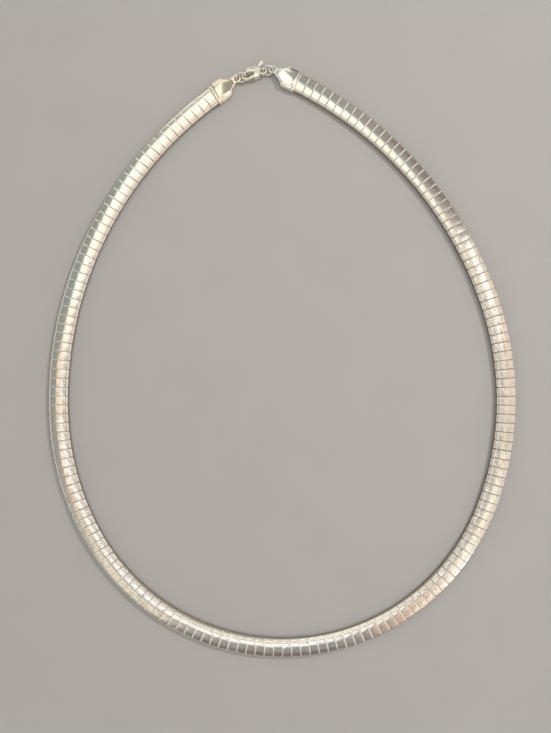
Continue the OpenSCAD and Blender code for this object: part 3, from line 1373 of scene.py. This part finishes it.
PANELS = (
    # wall behind the front of the loop, darker far out
    Panel(((90, -0.12),), (0.33, 0.315, 0.3), 0.08),
    Panel(((90, -0.82), (180, 0.45), (0, 0.3)), (0.2, 0.17, 0.155), 0.12),
    # wall at the upper right
    Panel(((180, -0.15), (301, -0.02)), (0.36, 0.335, 0.31), 0.05),
    Panel(((180, -0.38), (301, -0.1), (135, 0.2)), (0.26, 0.225, 0.205), 0.08),
    # warm wall at the right with its brighter and darker fields
    Panel(((180, -0.12), (121, 0.02), (206.6, 0.03)), (0.86, 0.75, 0.63), 0.04),
    Panel(((180, -0.2), (90, -0.15), (0, 0.62), (206.6, -0.1)), (1.12, 1.05, 0.88), 0.06),
    Panel(((180, -0.42), (90, -0.1), (270, 0.18), (0, 0.9)), (0.62, 0.52, 0.42), 0.04),
    Panel(((180, -0.6), (121, -0.05), (270, 0.02), (0, 0.95)), (1.0, 0.71, 0.52), 0.06),
    Panel(((180, -0.12), (121, 0.02), (286.0, 0.045), (0, 0.66)), (1.4, 1.36, 1.27), 0.03),
    Panel(((180, -0.4), (90, 0.1), (270, -0.03), (0, 0.6)), (0.5, 0.44, 0.39), 0.03),
    Panel(((206.6, 0.03), (26.6, 0.09), (90, -0.38), (270, 1.15)), (0.66, 0.44, 0.35), 0.035),
    Panel(((137, -0.98), (317, 1.5), (47, 0.09), (227, 0.1)), (1.9, 1.9, 1.9), 0.03),
    # greenish and warm fields at the lower left
    Panel(((55, -0.62), (235, 1.6), (145, 0.5), (325, 0.05)), (0.46, 0.46, 0.4), 0.12),
    Panel(((55, -0.42), (235, 1.1), (145, 0.22), (325, 0.14)), (0.84, 0.77, 0.62), 0.08),
    Panel(((102.5, -0.13), (282.5, 0.195), (0, -0.12), (180, 0.65)), (0.86, 0.5, 0.3), 0.03),
    Panel(((102.5, -0.03), (282.5, 0.14), (0, 0.02), (180, 0.5)), (1.15, 1.08, 0.92), 0.03),
    # the large window with its glow, its warm lower edges and the dark field under it
    Panel(((193.5, 0.37), (155, 0.74), (18, 0.21), (270, 0.0)), (0.5, 0.53, 0.47), 0.08),
    Panel(((193.5, 0.3), (155, 0.58), (18, 0.14), (270, 0.03)), (1.28, 1.25, 1.09), 0.03),
    Panel(((0, 0.22), (180, 0.0), (90, 0.15), (270, 0.0)), (1.0, 0.86, 0.7), 0.04),
    Panel(((180, 0.52), (0, -0.16), (90, 0.04), (270, 0.08)), (1.02, 0.82, 0.65), 0.03),
    Panel(((180, 0.16), (0, 0.1), (90, -0.01), (270, 0.05)), (0.74, 0.69, 0.6), 0.015),
    # the small window over the front, with a bar
    Panel(((180, 0.17), (0, 0.07), (270, 0.32), (90, -0.05)), (1.2, 1.2, 1.18), 0.02),
    Panel(((180, 0.07), (0, 0.13), (90, -0.05), (270, 0.09)), (0.4, 0.37, 0.34), 0.012),
    Panel(((63, -0.02), (243, 0.05), (333, 0.34), (153, 0.0)), (0.42, 0.38, 0.34), 0.015),
)

# far field behind the clasp, drawn over the eaves
HIGH_PANEL = Panel(((0, 0.14), (180, 0.75), (270, -0.9), (90, 1.6)), (0.95, 0.9, 0.77), 0.08)


@dataclass
class Studio:
    """Floor, light and the camera of the picture."""

    centre: Point = (-1.98, -2.2)
    camera_height: float = 180.0
    frame_height: float = 210.4
    plane_height: float = 1.0
    sensor: float = 36.0
    clip: Reach = (0.01, 20.0)
    floor_size: float = 4000.0
    floor_drop: float = 0.02
    floor_tones: tuple[Tone, Tone] = ((0.47, 0.47, 0.475), (0.505, 0.505, 0.51))
    floor_roughness: float = 0.85
    floor_grain: float = 60.0
    sky: Tone = (0.31, 0.335, 0.31)
    lowest: float = 0.08
    clutter: float = 2.0
    clutter_noise: Triple = (14.0, 4.0, 0.65)
    clutter_right: float = 0.8
    clutter_edge: Reach = (-0.15, 0.4)
    eaves: Tone = (0.13, 0.12, 0.11)
    eaves_z: Reach = (0.62, 0.59)
    low_sky: Tone = (1.2, 1.17, 1.1)
    low_ends: Tone = (0.57, 0.55, 0.5)
    low_z: Reach = (0.56, 0.51)
    ends_slope: float = 0.36
    ends_edge: Reach = (0.0, 0.32)
    backdrop: Tone = (0.62, 0.62, 0.61)
    key_power: float = 1.6
    key_tone: Tone = (1.0, 0.97, 0.92)
    key_size: float = 80.0
    key_way: Triple = (0.62, 0.4, 0.67)
    key_away: float = 700.0

    def camera(self) -> None:
        """Sets the camera straight above the loop."""
        data = bpy.data.cameras.new("Camera")
        data.sensor_width = self.sensor
        data.lens = self.sensor * (self.camera_height - self.plane_height) / self.frame_height
        data.clip_start, data.clip_end = self.clip
        made = as_object("Camera", data)
        made.location = Vector((*self.centre, self.camera_height)) * MM
        bpy.context.scene.camera = made

    def floor(self) -> None:
        """Lays the plain pale floor."""
        bm = bmesh.new()
        half = self.floor_size / 2
        corners = ((-half, -half), (half, -half), (half, half), (-half, half))
        bm.faces.new([bm.verts.new((x, y, -self.floor_drop)) for x, y in corners])
        made = from_bmesh("Floor", bm, TO_METRES)
        material = bpy.data.materials.new("Pale floor")
        net = Net.fresh(material)
        place = net.value("ShaderNodeTexCoord", {}, {}, "Object")
        tone = net.mix(net.noise(place, self.floor_grain, 4.0), *self.floor_tones)
        net.close("ShaderNodeBsdfPrincipled", {"Base Color": tone, "Roughness": self.floor_roughness})
        made.data.materials.append(material)

    def world(self) -> None:
        """Lights the scene with a soft sky and its panels, with dark eaves over a bright horizon."""
        world = bpy.data.worlds.new("Studio")
        bpy.context.scene.world = world
        net = Net.fresh(world)
        x, y, z = net.value("ShaderNodeTexCoord", {}, {}, "Generated").parts()
        above = z.most(self.lowest)
        u, v = x / above, y / above
        colour: Any = self.sky
        for panel in PANELS:
            colour = net.mix(panel.mask(u, v), colour, panel.light)
        spot = net.value("ShaderNodeCombineXYZ", {}, {"X": u, "Y": v})
        clutter = (u * self.clutter_right - v).step(*self.clutter_edge) * self.clutter
        colour = colour * (1.0 + (net.noise(spot, *self.clutter_noise) - 0.5) * clutter)
        colour = net.mix(z.step(*self.eaves_z), colour, self.eaves)
        ends = (abs(y) - abs(x) * self.ends_slope).step(*self.ends_edge)
        colour = net.mix(z.step(*self.low_z), colour, net.mix(ends, self.low_sky, self.low_ends))
        colour = net.mix(HIGH_PANEL.mask(u, v), colour, HIGH_PANEL.light)
        seen = net.value("ShaderNodeLightPath", {}, {}, "Is Camera Ray")
        colour = net.mix(seen, colour, self.backdrop)
        net.close("ShaderNodeBackground", {"Color": colour, "Strength": 1.0}, "ShaderNodeOutputWorld")

    def key(self) -> None:
        """Hangs a small key light at the upper right, for the shadows alone."""
        data = bpy.data.lights.new("Key", "AREA")
        data.shape, data.size = "DISK", self.key_size * MM
        data.energy, data.color = self.key_power, self.key_tone
        made = as_object("Key", data)
        way = Vector(self.key_way).normalized()
        made.location = way * self.key_away * MM
        made.rotation_mode = "QUATERNION"
        made.rotation_quaternion = way.to_track_quat("Z", "Y")
        made.visible_camera = made.visible_glossy = False

    def build(self) -> None:
        """Builds the whole set."""
        bpy.context.scene.view_settings.view_transform = "Standard"
        self.floor()
        self.world()
        self.key()
        self.camera()


def main() -> None:
    """Builds every piece in order."""
    logging.basicConfig(level=logging.INFO, format="%(name)s: %(message)s")
    route, finishes = Route(), Finishes()
    clasp = ClaspLine(route)
    Studio().build()
    for side in Side:
        ChainPlates(side, route, finishes.plate).build()
    MeshBand(route, finishes.wire).build()
    for side in Side:
        # the left cap takes the silver with a painted warm reflection
        EndCap(side, clasp, finishes.cap if side is Side.RIGHT else finishes.cap_with_warm_reflection).build()
        JumpRing(side, clasp, finishes.ring).build()
    CastPiece("clasp_body", NECKLACE, clasp, finishes.clasp).build()
    CastPiece("clasp_lever", "clasp_lever", clasp, finishes.clasp, voxel=0.05, rounds=4).build()


if __name__ == "__main__":
    main()
